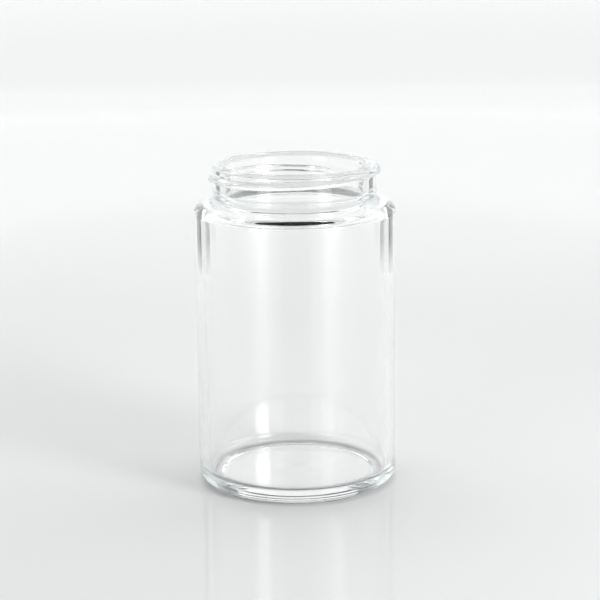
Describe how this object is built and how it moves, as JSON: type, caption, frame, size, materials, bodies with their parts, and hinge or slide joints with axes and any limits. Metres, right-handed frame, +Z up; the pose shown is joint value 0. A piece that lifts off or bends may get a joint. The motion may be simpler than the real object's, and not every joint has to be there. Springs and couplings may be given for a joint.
{
  "type": "empty candle jar",
  "caption": "Empty clear glass candle jar: a straight round body, a rounded shoulder and a one-turn screw neck, open at the top.",
  "frame": {"origin": "on the jar's axis, on the plane that its standing ring rests on", "axes": "+Z up along the jar's axis, out of its mouth; the thread starts 42 degrees from +X towards +Y, and -Y is the front"},
  "size_m": [0.0556, 0.0556, 0.0895],
  "materials": {
    "clear_glass": "clear flint glass, fire polished, faintly grey-green where it is thick"
  },
  "bodies": {
    "root": {"glass_jar": "clear_glass"}
  },
  "joints": []
}
